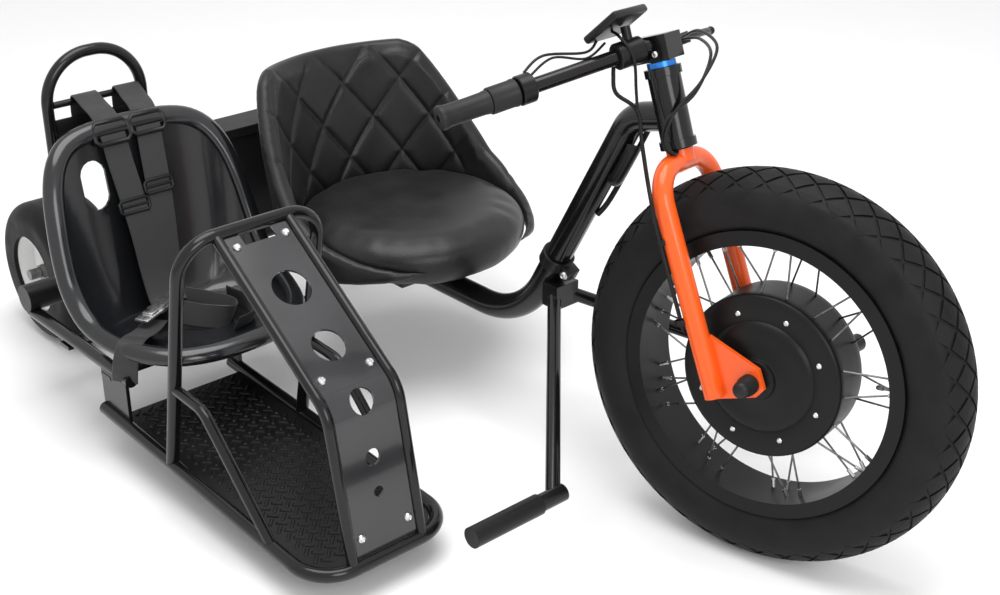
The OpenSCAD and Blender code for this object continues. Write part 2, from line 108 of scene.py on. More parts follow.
# %% floor
floor_shape = bmesh.new()
bmesh.ops.create_circle(floor_shape, cap_ends=True, segments=96, radius=30)
floor_mesh = bpy.data.meshes.new("floor")
floor_shape.to_mesh(floor_mesh)
floor_shape.free()
floor = show(bpy.data.objects.new("floor", floor_mesh))
floor.location.z = -0.0005
floor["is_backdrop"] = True
print("floor disc with", len(floor_mesh.vertices), "points")

# %% world
bpy.context.scene.view_settings.view_transform = "Standard"
world = bpy.data.worlds.new("studio")
bpy.context.scene.world = world
world.use_nodes = True
sky = world.node_tree
sky.nodes.clear()


def white(strength):
    shade = sky.nodes.new("ShaderNodeBackground")
    shade.inputs["Color"].default_value = (1, 1, 1, 1)
    shade.inputs["Strength"].default_value = strength
    return shade.outputs[0]


def either(first, second):
    """1 where a ray is of the first kind or of the second."""
    both = sky.nodes.new("ShaderNodeMath")
    both.operation = "ADD"
    both.use_clamp = True
    sky.links.new(first, both.inputs[0])
    sky.links.new(second, both.inputs[1])
    return both.outputs[0]


ray = sky.nodes.new("ShaderNodeLightPath").outputs
pick = sky.nodes.new("ShaderNodeMixShader")
sky_out = sky.nodes.new("ShaderNodeOutputWorld")
seen = either(either(ray["Is Camera Ray"], ray["Is Glossy Ray"]), ray["Is Transmission Ray"])
for source, socket in ((seen, 0), (white(0.78), 1), (white(1.0), 2)):
    sky.links.new(source, pick.inputs[socket])
sky.links.new(pick.outputs[0], sky_out.inputs["Surface"])
print("world nodes:", len(sky.nodes))


# %% lamps
def softbox(name, place, target, size, watts):
    lamp = bpy.data.lights.new(name, "AREA")
    lamp.shape = "DISK"
    lamp.size = size
    lamp.energy = watts
    holder = show(bpy.data.objects.new(name, lamp))
    holder.location = place
    holder.rotation_euler = (Vector(target) - Vector(place)).to_track_quat("-Z", "Y").to_euler()
    print(name, "at", place, watts, "W")


softbox("overhead_softbox", (0.2, -0.3, 3.2), (0, 0, 0.3), 2.6, 70)
softbox("front_softbox", (3.0, -1.0, 1.8), (0, 0, 0.3), 1.6, 30)

# %% [markdown]
# ## Finishes
# No real surface is one flat colour. Each finish here starts from a shader and gets three layers of
# noise on object coordinates: a slow drift of the colour, a drift of the roughness, and a fine bump.
# One function builds that, and each finish only names its numbers.


# %% a function that mixes a finish
def finish(name, colour, rough, metal=0.0, coat=0.0, drift=0.25, drift_size=9.0, bump=0.05, grain=260.0,
           depth=0.0004, sheen=0.0, cells=False, soften=0.0, rough_drift=0.2, glint=0.5):
    made = bpy.data.materials.new(name)
    made.use_nodes = True
    tree = made.node_tree
    shader = tree.nodes["Principled BSDF"]
    shader.inputs["Metallic"].default_value = metal
    shader.inputs["Coat Weight"].default_value = coat
    shader.inputs["Coat Roughness"].default_value = 0.08
    shader.inputs["Sheen Weight"].default_value = sheen
    shader.inputs["Specular IOR Level"].default_value = glint
    where = tree.nodes.new("ShaderNodeTexCoord")
    slow = tree.nodes.new("ShaderNodeTexNoise")
    slow.inputs["Scale"].default_value = drift_size
    slow.inputs["Detail"].default_value = 5
    tree.links.new(where.outputs["Object"], slow.inputs["Vector"])
    ramp = tree.nodes.new("ShaderNodeValToRGB")
    darker, lighter = ramp.color_ramp.elements
    darker.position, lighter.position = 0.3, 0.7
    darker.color = [c * (1 - drift) for c in colour] + [1]
    lighter.color = [min(c * (1 + drift), 1) for c in colour] + [1]
    tree.links.new(slow.outputs["Fac"], ramp.inputs["Fac"])
    tree.links.new(ramp.outputs["Color"], shader.inputs["Base Color"])
    shine = tree.nodes.new("ShaderNodeMapRange")
    shine.inputs["From Min"].default_value = 0.3
    shine.inputs["From Max"].default_value = 0.7
    shine.inputs["To Min"].default_value = rough * (1 - rough_drift)
    shine.inputs["To Max"].default_value = min(rough * (1 + rough_drift), 1)
    tree.links.new(slow.outputs["Fac"], shine.inputs["Value"])
    tree.links.new(shine.outputs["Result"], shader.inputs["Roughness"])
    fine = tree.nodes.new("ShaderNodeTexVoronoi" if cells else "ShaderNodeTexNoise")
    fine.inputs["Scale"].default_value = grain
    tree.links.new(where.outputs["Object"], fine.inputs["Vector"])
    raised = tree.nodes.new("ShaderNodeBump")
    raised.inputs["Strength"].default_value = bump
    raised.inputs["Distance"].default_value = depth
    tree.links.new(fine.outputs["Distance" if cells else "Fac"], raised.inputs["Height"])
    if soften:
        eased = tree.nodes.new("ShaderNodeBevel")
        eased.inputs["Radius"].default_value = soften
        tree.links.new(eased.outputs["Normal"], raised.inputs["Normal"])
    tree.links.new(raised.outputs["Normal"], shader.inputs["Normal"])
    return made


# %% floor finish
floor.data.materials.append(finish("studio_floor", (0.965, 0.965, 0.965), 0.9, drift=0.004, bump=0.0))
print("floor finish:", floor.data.materials[0].name)

# %% [markdown]
# ### Paint, rubber, metal and plastic of the trike
# The tubes are gloss black enamel, the fork a clear warm orange under lacquer, the rims satin black in
# front and white behind. Rubber is a near black whose tone drifts, with a fine grain.

# %% paints and coats
enamel = finish("gloss_black_enamel", (0.005, 0.005, 0.0056), 0.18, coat=0.2, bump=0.06, grain=90,
                soften=0.0012, glint=0.28)
satin = finish("satin_black_coat", (0.007, 0.007, 0.0075), 0.32, bump=0.12, grain=700, soften=0.0012,
               glint=0.26)
textured = finish("textured_black_coat", (0.008, 0.0077, 0.0077), 0.45, bump=0.35, grain=900, soften=0.002,
                  glint=0.26)
orange = finish("orange_lacquer", (0.88, 0.105, 0.009), 0.3, coat=0.35, drift=0.05, bump=0.04, grain=120,
                soften=0.0012, glint=0.3)
white_rim = finish("white_rim_enamel", (0.78, 0.78, 0.77), 0.3, coat=0.3, drift=0.06, bump=0.03, soften=0.001)
cast_black = finish("cast_motor_black", (0.007, 0.0068, 0.0068), 0.38, bump=0.15, grain=600, soften=0.0012,
                    glint=0.18)
# The panel is the tubes' gloss black enamel. Its coat reflects for real, but its base colour is lifted well above
# the enamel's as painted reflection of the bright sweep that the glossy panel mirrors.
panel_gloss_painted_reflection = finish("panel_gloss_enamel_painted_reflection", (0.018, 0.018, 0.0205), 0.24, coat=0.55, bump=0.06, grain=90,
                     soften=0.0012)
print("finishes so far:", len(bpy.data.materials))

# %% metals
bright = finish("bright_zinc", (0.62, 0.62, 0.63), 0.28, metal=1.0, drift=0.15, drift_size=120, bump=0.06,
                soften=0.0004)
dark_steel = finish("dark_spoke_steel", (0.16, 0.16, 0.165), 0.32, metal=0.9, drift=0.3, drift_size=90)
blue = finish("blue_anodised_ring", (0.03, 0.22, 0.72), 0.3, metal=0.6, drift=0.1, soften=0.0006)
print("finishes so far:", len(bpy.data.materials))

# %% rubber, vinyl, plastic and glass
rubber = finish("tyre_rubber", (0.009, 0.009, 0.0095), 0.55, drift=0.35, drift_size=26, bump=0.25, grain=900,
                glint=0.16)
soft_rubber = finish("grip_rubber", (0.011, 0.011, 0.0115), 0.46, drift=0.25, drift_size=40, bump=0.3,
                     grain=1200, glint=0.28)
vinyl = finish("black_seat_vinyl", (0.008, 0.0079, 0.0086), 0.36, drift=0.3, drift_size=14, bump=0.3,
               grain=420, depth=0.0006, sheen=0.03, cells=True, glint=0.34)
moulded = finish("gloss_moulded_plastic", (0.009, 0.0095, 0.0112), 0.2, coat=0.25, drift=0.3, drift_size=7,
                 bump=0.08, grain=34, depth=0.0006)
glass = finish("dark_screen_glass", (0.006, 0.007, 0.009), 0.08, coat=0.6, drift=0.2, bump=0.0)
print("finishes so far:", len(bpy.data.materials))

# %% [markdown]
# ## Finishes on the CAD pieces
# A tube or a plate whose CAD shape is already right keeps it and only takes its finish.


# %% coat the CAD nodes
def coat(kind, *names):
    for name in names:
        data = node[name].data
        data.materials.clear()
        data.materials.append(kind)


coat(enamel, "head_tube", "main_tube", "axle_plates", "seat_post", "peg_arms", "peg_bars",
     "nose_base", "nose_hoop", "panel_rails", "side_braces", "nose_panel", "bracket_plates", "rest_hoop",
     "seat_rails", "steerer", "handlebar")
coat(cast_black, "front_rim")
coat(satin, "hub_motor", "throttle", "brake_levers", "rest_plate", "display", "nose_floor",
     "peg_sleeves", "grips", "rear_cross")
coat(textured, "battery_box", "battery_lid")
coat(orange, "fork")
coat(white_rim, "right_rim", "left_rim")
coat(rubber, "right_tyre", "left_tyre", "front_tyre")
coat(dark_steel, "front_spokes", "front_axle", "rear_axle")
coat(blue, "spacer_ring")
coat(vinyl, "seat_cushion", "seat_back")
coat(moulded, "bucket_seat")
print("CAD nodes coated:", len(node))

# %% [markdown]
# ## From the bench to a piece
# A bmesh is a workbench: vertices and edges go in, operators shape them, and the result becomes a mesh.
# `keep` does the last step for nearly every piece: it merges doubles, moves the shape to its place,
# turns the faces outwards and lets it ride on a body of the CAD.

# %% keep a finished shape
crease = 0.75  # radians: an edge that bends more than this stays sharp in the shading


def keep(name, shape, body, kinds, place=None, smooth=True):
    bmesh.ops.remove_doubles(shape, verts=shape.verts, dist=1e-6)
    if place is not None:
        bmesh.ops.transform(shape, matrix=place, verts=shape.verts)
    bmesh.ops.recalc_face_normals(shape, faces=shape.faces)
    for face in shape.faces:
        face.smooth = smooth
    for edge in shape.edges:
        if len(edge.link_faces) == 2 and edge.calc_face_angle() > crease:
            edge.smooth = False
    mesh = bpy.data.meshes.new(name)
    shape.to_mesh(mesh)
    shape.free()
    piece = show(bpy.data.objects.new(name, mesh))
    for kind in kinds if isinstance(kinds, list) else [kinds]:
        mesh.materials.append(kind)
    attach(piece, body)
    print(name, "-", len(mesh.polygons), "faces on", body)
    return piece


# %% [markdown]
# ## Front tyre
# The fat tyre is a rubber ring with smooth side walls and a crown cut into diamonds by slanting grooves.
# The ring is one section spun round the axle. The blocks could be a bump in the material, but they show
# on the outline, so each is a small grid patch, curved to the crown and lifted off it.


# %% place of the front wheel
def frame_of(origin, x, y, z):
    """A frame from its origin and its three axes."""
    place = Matrix((x, y, z)).transposed().to_4x4()
    place.translation = origin
    return place


rake, rest_turn = math.radians(20), math.radians(14)
fwd = Vector((math.cos(rake), 0, math.sin(rake)))
up_steer = Vector((-math.sin(rake), 0, math.cos(rake)))
left = Vector((0, 1, 0))
ex = math.cos(rest_turn) * fwd + math.sin(rest_turn) * left
ey = math.cos(rest_turn) * left - math.sin(rest_turn) * fwd
low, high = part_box("front_tyre")
wheel_mid = (Vector(low) + Vector(high)) / 2
wheel_place = frame_of(wheel_mid, ex, -up_steer, ey)
print("front wheel centre", wheel_mid)


# %% tyre ring
def spun(shape, section, steps, closed=False):
    """Spin (radius, height) pairs, in millimetres, round the local Z axis."""
    ring = [shape.verts.new((r / 1000, 0, z / 1000)) for r, z in section]
    edges = [shape.edges.new(pair) for pair in zip(ring, ring[1:] + (ring[:1] if closed else []))]
    bmesh.ops.spin(shape, geom=ring + edges, cent=(0, 0, 0), axis=(0, 0, 1), angle=math.tau, steps=steps,
                   use_merge=True)


tyre_mid, tyre_half = 245.0, 50.0
crown_roll, groove_depth, wall_gap = math.radians(52), 2.6, 0.4
section = []
for step in range(41):
    angle = math.radians(-140 + 280 * step / 40)
    grow = tyre_half - (groove_depth if abs(angle) < crown_roll else wall_gap)
    section.append((tyre_mid + grow * math.cos(angle), grow * math.sin(angle)))
section += [(206.5, 31), (206.5, -31)]
tyre_ring = bmesh.new()
spun(tyre_ring, section, 144, closed=True)
tyre = keep("front_tyre_ring", tyre_ring, "front_wheel", rubber, wheel_place)
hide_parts("front_tyre")

# %% one block of the tread
repeats, row_pitch = 40, 0.86
block_arc, block_span = math.tau / repeats, math.radians(26)
half_arc, half_span, block_foot, block_rise = 0.43, 0.715, -3.0, 0.003


def on_crown(turn, roll, lift):
    """A point on the crown: turn round the axle, roll over the section, lift off the ring."""
    reach = tyre_mid + (tyre_half + lift) * math.cos(roll)
    return Vector((reach * math.cos(turn), reach * math.sin(turn), (tyre_half + lift) * math.sin(roll))) / 1000


def tread_block(shape, mid_turn, mid_roll):
    """A diamond patch laid on the crown, its faces lifted off it."""
    verts = bmesh.ops.create_grid(shape, x_segments=2, y_segments=2, size=0.5)["verts"]
    for vert in verts:
        u, v = (vert.co.x + vert.co.y), (vert.co.y - vert.co.x)
        vert.co = on_crown(mid_turn + u * block_arc * half_arc, mid_roll + v * block_span * half_span, block_foot)
    faces = list({face for vert in verts for face in vert.link_faces})
    lifted = bmesh.ops.extrude_face_region(shape, geom=faces)["geom"]
    for vert in [item for item in lifted if isinstance(item, bmesh.types.BMVert)]:
        out = vert.co - Vector((vert.co.x, vert.co.y, 0)).normalized() * tyre_mid / 1000
        vert.co += out.normalized() * block_rise
    bmesh.ops.delete(shape, geom=faces, context="FACES_ONLY")


# %% tread blocks
tread = bmesh.new()
for count in range(repeats):
    for row in range(-2, 3):
        tread_block(tread, (count + (0.5 if row % 2 else 0)) * block_arc, row * block_span * row_pitch)
keep("front_tread_blocks", tread, "front_wheel", rubber, wheel_place, smooth=False)

# %% [markdown]
# ## Rider's seat
# The seat is a round foam cushion and a wrap-round back under black vinyl. Padding swells against its
# cover, so each pad starts a little smaller, is remeshed to an even skin and blown up by a short cloth
# simulation. The cushion starts from its CAD solid. The back starts from a row of sections round the
# cushion, because its upper edge falls in a curve from the middle to the wings. The sewn lines come
# after the swelling, because the remesh would wipe them out.


# %% an even, slightly smaller skin
def smoothed(shape, rounds):
    for count in range(rounds):
        bmesh.ops.smooth_vert(shape, verts=shape.verts, factor=0.5, use_axis_x=True, use_axis_y=True,
                              use_axis_z=True)


def applied(pad):
    """The pad's mesh with its modifier made real."""
    mesh = bpy.data.meshes.new_from_object(pad.evaluated_get(bpy.context.evaluated_depsgraph_get()))
    pad.modifiers.clear()
    return mesh


def even_skin(name, shape, voxel, rounds, shrink):
    """A bench shape remeshed to even faces, smoothed, and drawn in by shrink metres."""
    mesh = bpy.data.meshes.new(name)
    shape.to_mesh(mesh)
    shape.free()
    pad = show(bpy.data.objects.new(name, mesh))
    remesh = pad.modifiers.new("even_skin", "REMESH")
    remesh.mode = "VOXEL"
    remesh.voxel_size = voxel
    pad.data = applied(pad)
    shape = bmesh.new()
    shape.from_mesh(pad.data)
    smoothed(shape, rounds)
    shape.normal_update()
    for vert, way in [(vert, vert.normal.copy()) for vert in shape.verts]:
        vert.co -= way * shrink
    shape.to_mesh(pad.data)
    shape.free()
    return pad


# %% swell a padded piece
pressure, last_frame = 4.0, 20


def blow_up(pad, cap, ease):
    """Swell the skin by cloth pressure, by cap metres at most, and ease its wrinkles."""
    start = [vert.co.copy() for vert in pad.data.vertices]
    cloth = pad.modifiers.new("swell", "CLOTH")
    cloth.settings.use_pressure = True
    cloth.settings.uniform_pressure_force = pressure
    cloth.settings.effector_weights.gravity = 0
    cloth.point_cache.frame_start = 1
    cloth.point_cache.frame_end = last_frame
    for step in range(1, last_frame + 1):
        bpy.context.scene.frame_set(step)
    swelled = applied(pad)
    bpy.context.scene.frame_set(1)
    for vert, was, now in zip(pad.data.vertices, start, swelled.vertices):
        move = now.co - was
        vert.co = was + move * min(1, cap / max(move.length, 1e-9))
    taut = bmesh.new()
    taut.from_mesh(pad.data)
    smoothed(taut, ease)
    taut.to_mesh(pad.data)
    taut.free()


def swollen(name, shape, cad_name, shrink, voxel, cap, rounds, ease):
    """A bench shape made a padded piece, in place of its CAD solid."""
    pad = even_skin(name, shape, voxel, rounds, shrink)
    blow_up(pad, cap, ease)
    for face in pad.data.polygons:
        face.use_smooth = True
    pad.data.materials.clear()
    pad.data.materials.append(vinyl)
    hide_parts(cad_name)
    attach(pad, "chassis")
    print(name, "-", len(pad.data.vertices), "points")
    return pad


# %% cushion
seat_x, cushion_spread = -805.0, 1.065
foam = bmesh.new()
foam.from_mesh(node["seat_cushion"].data)
bmesh.ops.remove_doubles(foam, verts=foam.verts, dist=1e-5)
seat_centre = at(seat_x, 0, 0)
for vert in foam.verts:
    vert.co.x = seat_centre.x + (vert.co.x - seat_centre.x) * cushion_spread
    vert.co.y = seat_centre.y + (vert.co.y - seat_centre.y) * cushion_spread
cushion = swollen("seat_cushion_pad", foam, "seat_cushion", shrink=0.005, voxel=0.006, cap=0.006, rounds=6,
                  ease=10)

# %% upper edge of the back
crest = [(0, 548), (36, 548), (43, 537), (50, 503), (60, 450), (70, 398), (80, 354), (100, 308), (120, 286),
         (140, 273), (154, 268)]


def crest_at(degrees):
    """Height of the back's upper edge at an angle from straight behind."""
    for (a, first), (b, second) in zip(crest, crest[1:]):
        if degrees <= b:
            return first + (second - first) * (degrees - a) / (b - a)
    return crest[-1][1]


print("upper edge at 0, 60 and 120 degrees:", [crest_at(degrees) for degrees in (0, 60, 120)])

# %% one section of the back
seat_ring, back_foot, back_thick = 203.5, 230.0, 36.0
half_turn = [math.pi * k / 6 for k in range(1, 6)]


def past(value, start):
    return max(0, value - start)


def back_section(degrees):
    """A closed section of the padded back: inner face, round crest, outer face, round foot."""
    off = abs(degrees)
    high, low = crest_at(off), back_foot + 26 * past(off, 105) / 47
    thick = min(back_thick - 14 * past(off, 60) / 94, (high - low) * 0.8)
    radius = thick / 2

    def lean(z):
        return seat_ring + radius + 32 * past(z, 278) / 258 - 8 * past(off, 100) / 52

    rise = [low + radius + (high - low - thick) * k / 9 for k in range(10)]
    ring = [(lean(z) - radius, z) for z in rise]
    ring += [(lean(high - radius) - radius * math.cos(a), high - radius + radius * math.sin(a))
             for a in half_turn]
    ring += [(lean(z) + radius, z) for z in rise[::-1]]
    ring += [(lean(low) + radius * math.cos(a), low + radius - radius * math.sin(a)) for a in half_turn]
    return ring


# %% the back as a row of sections round the cushion
def skin(shape, loops, closed=False):
    """Faces between each loop of points and the next."""
    for first, second in zip(loops, loops[1:] + (loops[:1] if closed else [])):
        for k in range(len(first)):
            shape.faces.new((first[k - 1], first[k], second[k], second[k - 1]))


padding = bmesh.new()
loops = []
for degrees in range(-152, 153, 4):
    turn = math.radians(degrees)
    loops.append([padding.verts.new(at(seat_x - r * math.cos(turn), r * math.sin(turn), z))
                  for r, z in back_section(degrees)])
skin(padding, loops)
padding.faces.new(loops[0])
padding.faces.new(loops[-1])
bmesh.ops.recalc_face_normals(padding, faces=padding.faces)
back = swollen("seat_back_pad", padding, "seat_back", shrink=0.004, voxel=0.006, cap=0.005, rounds=2, ease=2)


# %% finer skins
def subdivided(pad):
    """One round of subdivision, kept as a plain mesh."""
    finer = pad.modifiers.new("finer", "SUBSURF")
    finer.levels = finer.render_levels = 1
    pad.data = applied(pad)
    print(pad.name, "-", len(pad.data.vertices), "points")
    return pad.data


back_mesh = subdivided(back)
subdivided(cushion)

# %% sewn lines of the back
quilt_radius, wing_end = 215.0, 262
diamond_start, diamond_mid = 25.0, 404.0
diamond_wide, diamond_high, line_gap = 52.0, 69.0, 83.0
outer_seams, wing_turn = (312.0, 404.0), 1.2


def pinch(distance, depth, width):
    """How far a stitched line pulls the skin in at a distance from it."""
    return depth * math.exp(-abs(distance) / width)


def fade(distance, width):
    """0 at an edge and 1 from a width away."""
    return min(1, max(0, distance / width))


def quilted(around, z):
    """Pull of the diamond stitches on the inner face, which stop short of the edges."""
    arc = around * quilt_radius
    u, w = (arc - diamond_start) / diamond_wide, (z - diamond_mid) / diamond_high
    pull = max(pinch((line - round(line)) * line_gap, 5.0, 4.5) for line in ((u + w - 1) / 2, (u - w - 1) / 2))
    return pull * (fade(crest_at(abs(math.degrees(around))) - 12 - z, 18) * fade(wing_end - abs(arc), 20))


# %% quilt the inside of the back
spots = [(vert, vert.normal.copy()) for vert in back_mesh.vertices]
for vert, normal in spots:
    x, y, z = vert.co.x * 1000 - foot_x - seat_x, vert.co.y * 1000 - foot_y, vert.co.z * 1000
    around = math.atan2(y, -x)
    inward = -(normal.x * x + normal.y * y) / math.hypot(x, y)
    pull = 0.0
    if inward > 0.15:
        pull = quilted(around, z)
    elif abs(around) > wing_turn:
        pull = max(pinch(z - seam, 2.5, 3.0) for seam in outer_seams)
    vert.co -= normal * pull / 1000
print("points of the back gone over:", len(spots))

# %% [markdown]
# ## Bucket seat
# The passenger's seat is one moulded shell with a rolled rim. The rim is drawn first as a closed soft
# line: low and wide in front, steep at the sides, narrow at the top. From every point of it a bowed line
# drops to the pan, and the skin between these lines is the shell. An opening for the harness is cut in
# its right side before the skin gets its thickness, so that the cut edge gets a wall too.


# %% rim line
def smooth_line(points, per, closed=False):
    """A soft curve that passes through all the points, with so many steps between two of them."""
    points = [Vector(point) for point in points]
    count = len(points)
    line = []
    for i in range(count if closed else count - 1):
        if closed:
            a, b, c, d = (points[(i + k) % count] for k in (-1, 0, 1, 2))
        else:
            a, b, c, d = points[max(i - 1, 0)], points[i], points[i + 1], points[min(i + 2, count - 1)]
        for k in range(per):
            u = k / per
            line.append((2 * b + (c - a) * u + (2 * a - 5 * b + 4 * c - d) * u * u
                         + (3 * b - a - 3 * c + d) * u ** 3) / 2)
    return line if closed else line + [points[-1]]


seat_mid = -410.0
half_rim = [(-722, 0, 202), (-727, 58, 202), (-750, 112, 203), (-795, 150, 206), (-852, 172, 212),
            (-910, 181, 228), (-952, 183, 268), (-974, 181, 318), (-992, 175, 372), (-1010, 165, 420),
            (-1028, 146, 458), (-1043, 116, 482), (-1051, 70, 493), (-1054, 0, 496)]
rim_points = [at(x, seat_mid - y, z) for x, y, z in half_rim]
rim_points += [at(x, seat_mid + y, z) for x, y, z in half_rim[-2:0:-1]]
rim_line = smooth_line(rim_points, 4, closed=True)
print("rim line of", len(rim_line), "points")

# %% skin from the rim to the pan
pan_mid, drops = at(-860, seat_mid, 180), 14


def bowed(point, t):
    """A point on the bowed line from the rim (t = 0) to the pan (t = 1)."""
    foot = Vector((pan_mid.x + (point.x - pan_mid.x) * 0.56, pan_mid.y + (point.y - pan_mid.y) * 0.6, pan_mid.z))
    knee = Vector((foot.x + (point.x - foot.x) * 0.34, foot.y + (point.y - foot.y) * 0.86, pan_mid.z - 0.004))
    return point * (1 - t) ** 2 + knee * 2 * t * (1 - t) + foot * t * t


shell = bmesh.new()
rows = [[shell.verts.new(bowed(point, step / drops)) for point in rim_line] for step in range(drops + 1)]
skin(shell, rows)
pan = shell.faces.new(rows[-1])
bmesh.ops.inset_individual(shell, faces=[pan], thickness=0.03)
print("shell of", len(shell.faces), "faces")

# %% cut the harness opening
slot_half, slot_rise, slot_sides = 24.0, 17.0, 16
slot_mid, slot_reach, slot_depth = at(-1025, seat_mid - 79, 405), 0.055, 0.06
corners = []
for k in range(slot_sides):
    angle = math.tau * (k + 0.5) / slot_sides
    lift = slot_rise if math.sin(angle) > 0 else -slot_rise
    corners.append(slot_mid + Vector((0, slot_half * math.cos(angle), lift + slot_half * math.sin(angle))) / 1000)
cuts = [(a, (b - a).cross(Vector((1, 0, 0)))) for a, b in zip(corners, corners[1:] + corners[:1])]


def beside(face):
    off = face.calc_center_median() - slot_mid
    return abs(off.y) < slot_reach and abs(off.z) < slot_reach and off.x < slot_depth


for corner, way in cuts:
    near = [face for face in shell.faces if beside(face)]
    near_edges = list({edge for face in near for edge in face.edges})
    near_verts = list({vert for face in near for vert in face.verts})
    bmesh.ops.bisect_plane(shell, geom=near + near_edges + near_verts, plane_co=corner, plane_no=way, dist=1e-6)
inside = [face for face in shell.faces if beside(face)
          and all(way.dot(face.calc_center_median() - corner) < 0 for corner, way in cuts)]
bmesh.ops.delete(shell, geom=inside, context="FACES")
print("opening: removed", len(inside), "faces")


# %% carry an outline along a line
def round_outline(radius, sides):
    return [(radius * math.cos(math.tau * k / sides), radius * math.sin(math.tau * k / sides)) for k in range(sides)]


def frames_along(line, across=None, centre=None):
    """Frames whose Z runs along the line; X is kept across it, away from a centre, or free of twist."""
    frames, side, count = [], None, len(line)
    for i, point in enumerate(line):
        if centre:
            ahead, behind = line[(i + 1) % count], line[i - 1]
        else:
            ahead, behind = line[min(i + 1, count - 1)], line[max(i - 1, 0)]
        way = (ahead - behind).normalized()
        if across:
            side = across
        elif centre:
            side = point - centre
        elif side is None:
            side = way.orthogonal()
        side = (side - way * side.dot(way)).normalized()
        frames.append(frame_of(point, side, way.cross(side), way))
    return frames


def swept(shape, places, outline, closed=False):
    """Skin an outline of (x, y) pairs, in millimetres, drawn across each frame's Z axis."""
    loops = [[shape.verts.new(place @ Vector((x / 1000, y / 1000, 0))) for x, y in outline] for place in places]
    skin(shape, loops, closed)
    if not closed:
        shape.faces.new(loops[0])
        shape.faces.new(loops[-1])


# %% thickness and rolled rim
bmesh.ops.recalc_face_normals(shell, faces=shell.faces)
bmesh.ops.solidify(shell, geom=shell.faces[:], thickness=0.005)
roll = [(1.42 * x - 3, y) for x, y in round_outline(12, 16)]
swept(shell, frames_along(rim_line, centre=at(-890, seat_mid, 300)), roll, closed=True)
bucket = keep("bucket_shell", shell, "chassis", moulded, None)
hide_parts("bucket_seat")

# %% [markdown]
# ## Harness
# Two flat webbing straps come over the cross bar, pass their adjusters at the rim and lie down the back
# to a bright latch on the pan. A lap strap leaves over the right front lip. Webbing is stiff across and
# soft along, so each strap is a thin flat outline swept along a soft line.

# %% where the straps lie
strap_runs = [
    ([(-1147, -436, 470), (-1148, -436, 505), (-1144, -436, 524), (-1132, -437, 528), (-1100, -439, 519),
      (-1066, -442, 511), (-1040, -443, 490), (-1024, -441, 440), (-1004, -437, 380), (-984, -434, 320),
      (-962, -435, 258), (-938, -438, 218), (-918, -440, 207)], 46, Vector((0, 1, 0))),
    ([(-1147, -358, 470), (-1148, -358, 505), (-1144, -358, 524), (-1132, -359, 528), (-1100, -364, 519),
      (-1066, -370, 511), (-1040, -376, 490), (-1022, -381, 440), (-1003, -386, 380), (-984, -394, 320),
      (-964, -404, 262), (-944, -414, 224), (-928, -420, 211)], 46, Vector((0, 1, 0))),
    ([(-890, -478, 204), (-866, -505, 206), (-842, -531, 214), (-824, -551, 222), (-812, -568, 219),
      (-806, -580, 200), (-806, -585, 176), (-812, -584, 158)], 42, Vector((0.72, 0.69, 0))),
    ([(-930, -400, 206), (-900, -372, 200), (-860, -352, 196), (-830, -372, 199), (-850, -410, 205),
      (-893, -440, 208)], 40, Vector((0, 0.5, 0.86))),
    ([(-905, -330, 200), (-862, -318, 194), (-815, -336, 194), (-800, -380, 196)], 40, Vector((0.5, 0, 0.86)))]
print("straps:", len(strap_runs))

# %% webbing
webbing = finish("black_webbing", (0.016, 0.016, 0.017), 0.62, drift=0.2, drift_size=60, bump=0.5, grain=520,
                 depth=0.0006, sheen=0.1)
strap_thick = 2.6


def flat_outline(width, thick):
    w, h = width / 2, thick / 2
    return [(-w, 0), (-w + h, -h), (w - h, -h), (w, 0), (w - h, h), (-w + h, h)]


straps = bmesh.new()
for points, width, across in strap_runs:
    line = smooth_line([at(*point) for point in points], 5)
    swept(straps, frames_along(line, across), flat_outline(width, strap_thick))
keep("harness_webbing", straps, "chassis", webbing)


# %% bar and plate between the headrest's legs
def eased_block(size, ease, segments=2, place=Matrix()):
    """A block of a size in millimetres whose edges are eased by a bevel."""
    block = bmesh.new()
    bmesh.ops.create_cube(block, size=1, matrix=place @ Matrix.Diagonal([length / 1000 for length in size] + [1]))
    bmesh.ops.bevel(block, geom=block.edges[:], offset=ease / 1000, segments=segments, profile=0.5,
                    affect="EDGES", material=-1)
    return block


hanger = bmesh.new()
swept(hanger, frames_along([at(-1140, -493, 518), at(-1140, -337, 518)]), round_outline(6, 20))
keep("harness_bar", hanger, "chassis", enamel, None)
sheet = eased_block([4, 155.2, 52], 1.2, place=Matrix.Translation(at(-1140, -415, 466)))
rest_sheet = keep("harness_plate", sheet, "chassis", satin, None)
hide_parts("rest_plate")

# %% adjusters and slides
buckles = bmesh.new()


def frame_buckle(middle, along, width, height, bar):
    """A flat rectangular ring with a middle bar, as strap adjusters have."""
    along, across = Vector(along).normalized(), Vector((0, 1, 0))
    place = frame_of(at(*middle), across, along, along.cross(across))
    w, h, e = width / 2, height / 2, height / 5
    outline = [(-w + e, -h), (w - e, -h), (w, -h + e), (w, h - e),
               (w - e, h), (-w + e, h), (-w, h - e), (-w, -h + e)]
    ring = [place @ Vector((x / 1000, y / 1000, 0)) for x, y in outline]
    swept(buckles, frames_along(ring, centre=place.translation), round_outline(bar, 8), closed=True)
    middle_bar = [place @ Vector((side * width / 2000, 0, 0.001)) for side in (-1, 1)]
    swept(buckles, frames_along(middle_bar), round_outline(bar * 0.9, 8))


frame_buckle((-1038, -444, 487), (-0.45, 0, 0.9), 64, 36, 4.2)
frame_buckle((-1038, -377, 489), (-0.45, 0, 0.9), 62, 32, 4.2)
frame_buckle((-998, -437, 366), (-0.3, 0, 0.95), 54, 22, 3.0)
frame_buckle((-1003, -386, 389), (-0.3, 0, 0.95), 52, 22, 3.0)
keep("harness_buckles", buckles, "chassis", satin, None)


# %% latch
def add(shape, part, place):
    """Drop a copy of one bench shape on to another."""
    mesh = bpy.data.meshes.new("part")
    part.to_mesh(mesh)
    count = len(shape.verts)
    shape.from_mesh(mesh)
    shape.verts.ensure_lookup_table()
    bmesh.ops.transform(shape, matrix=place, verts=shape.verts[count:])
    bpy.data.meshes.remove(mesh)


